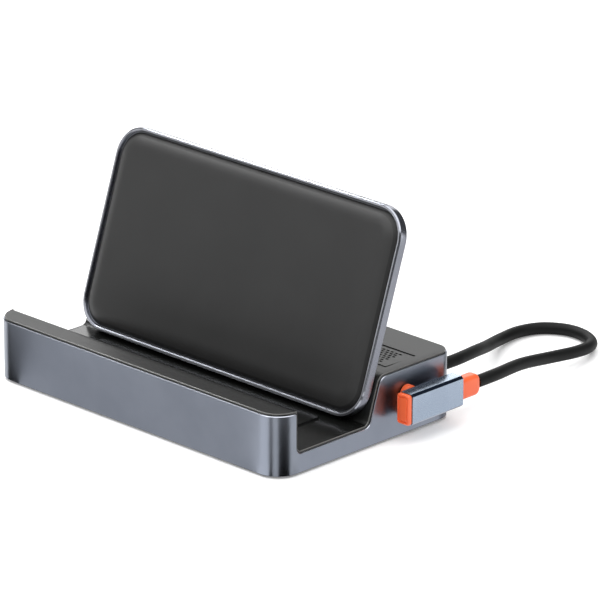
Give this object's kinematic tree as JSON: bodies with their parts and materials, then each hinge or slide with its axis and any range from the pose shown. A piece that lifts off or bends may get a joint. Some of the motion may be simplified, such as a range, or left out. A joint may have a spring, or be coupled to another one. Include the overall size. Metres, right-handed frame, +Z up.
{
  "type": "laptop docking station",
  "caption": "Low docking station with a cradle slot, a folding padded back support, rear ports and a captive plug lead stowed in its side.",
  "frame": {"origin": "centre of the base's footprint, on the surface that its feet stand on", "axes": "+X to the right as seen from the slot's side, +Y to the rear, +Z up"},
  "size_m": [0.147, 0.1712, 0.0786],
  "materials": {
    "anodised_aluminium": "satin anodised",
    "black_plastic": "fine matte texture",
    "steel": "plain",
    "foot_rubber": "matte",
    "circuit_board": "solder mask",
    "port_metal": "bright plated",
    "chip_plastic": "moulded",
    "thermal_pad": "soft",
    "plain_aluminium": "mill",
    "lead_sheath": "matte sheath",
    "header_plastic": "moulded",
    "brass": "plain",
    "soft_pad": "soft grained skin",
    "plug_aluminium": "satin anodised with polished edges",
    "orange_plastic": "satin"
  },
  "bodies": {
    "base": {"shell": "anodised_aluminium", "top_cover": "black_plastic", "bottom_cover": "black_plastic", "base_plate": "steel", "feet": "foot_rubber", "case_screws": "steel", "slot_pad": "foot_rubber", "vent_grille": "black_plastic", "main_board": "circuit_board", "board_screws": "steel", "ethernet_port": "port_metal", "hdmi_port": "port_metal", "usb_port_left": "port_metal", "usb_port_middle": "port_metal", "usb_port_right": "port_metal", "power_port": "port_metal", "hub_chip": "chip_plastic", "video_chip": "chip_plastic", "network_chip": "chip_plastic", "thermal_pads": "thermal_pad", "heat_spreader": "plain_aluminium", "stow_socket": "port_metal", "cable_gland": "lead_sheath", "lead_wires": "lead_sheath", "wire_header": "header_plastic", "hinge_brackets": "steel", "bracket_screws": "steel", "hinge_pins": "steel", "hinge_washers": "brass", "cable": "lead_sheath"},
    "back_support": {"hinge_leaves": "steel", "leaf_screws": "steel", "support_frame": "anodised_aluminium", "support_back": "black_plastic", "support_plate": "steel", "support_pad": "soft_pad", "support_screws": "steel"},
    "stowed_plug": {"plug_sleeve": "plug_aluminium", "plug_core": "orange_plastic", "plug_relief": "orange_plastic", "plug_tongue": "port_metal"}
  },
  "joints": [
    {"name": "support_fold", "type": "hinge", "parent": "base", "child": "back_support", "pos_m": [0, 0.00846, 0.0211], "axis": [-1, 0, 0], "range_deg": [0, 71.2]},
    {"name": "plug_pull", "type": "slide", "parent": "base", "child": "stowed_plug", "axis": [1, 0, 0], "range_m": [0, 0.007], "deforming": ["cable"]}
  ]
}
